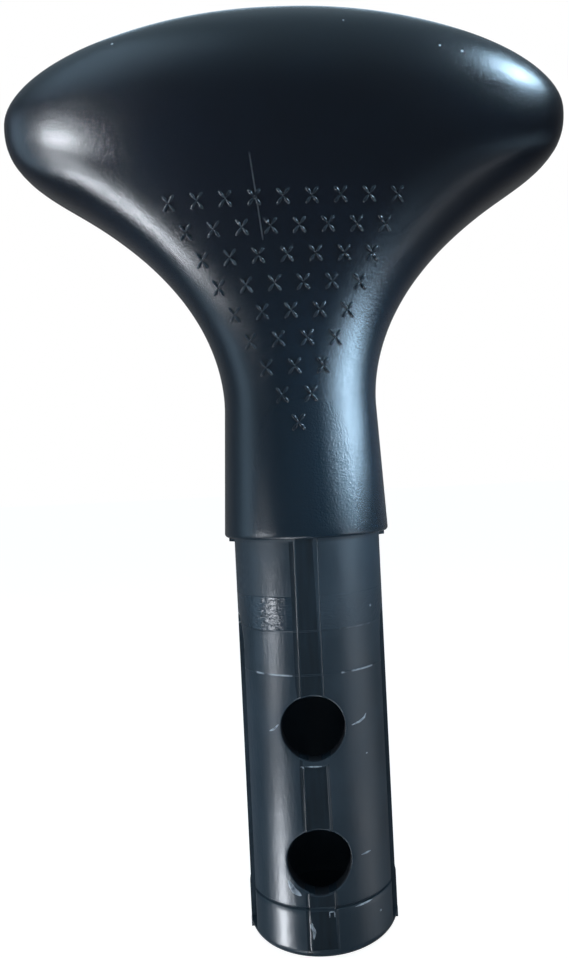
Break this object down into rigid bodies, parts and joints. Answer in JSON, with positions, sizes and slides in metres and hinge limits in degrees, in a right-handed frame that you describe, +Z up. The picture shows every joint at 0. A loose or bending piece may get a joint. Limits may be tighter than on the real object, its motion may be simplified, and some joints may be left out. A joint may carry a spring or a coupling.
{
  "type": "paddle grip",
  "caption": "One-piece hollow plastic palm grip for a paddle shaft, with a broad rounded head, raised cross marks, a stop lip and a round shank that plugs into the tube.",
  "frame": {"origin": "centre of the shank's axis in the plane of the shoulder, where the tube's end stops", "axes": "+Z up the shank's axis towards the head, -Y out of the front with the holes and marks, X across the palm rest"},
  "size_m": [0.1, 0.0296, 0.1624],
  "materials": {
    "plastic": "satin black, finely grained on the head"
  },
  "bodies": {
    "root": {"grip": "plastic"}
  },
  "joints": []
}
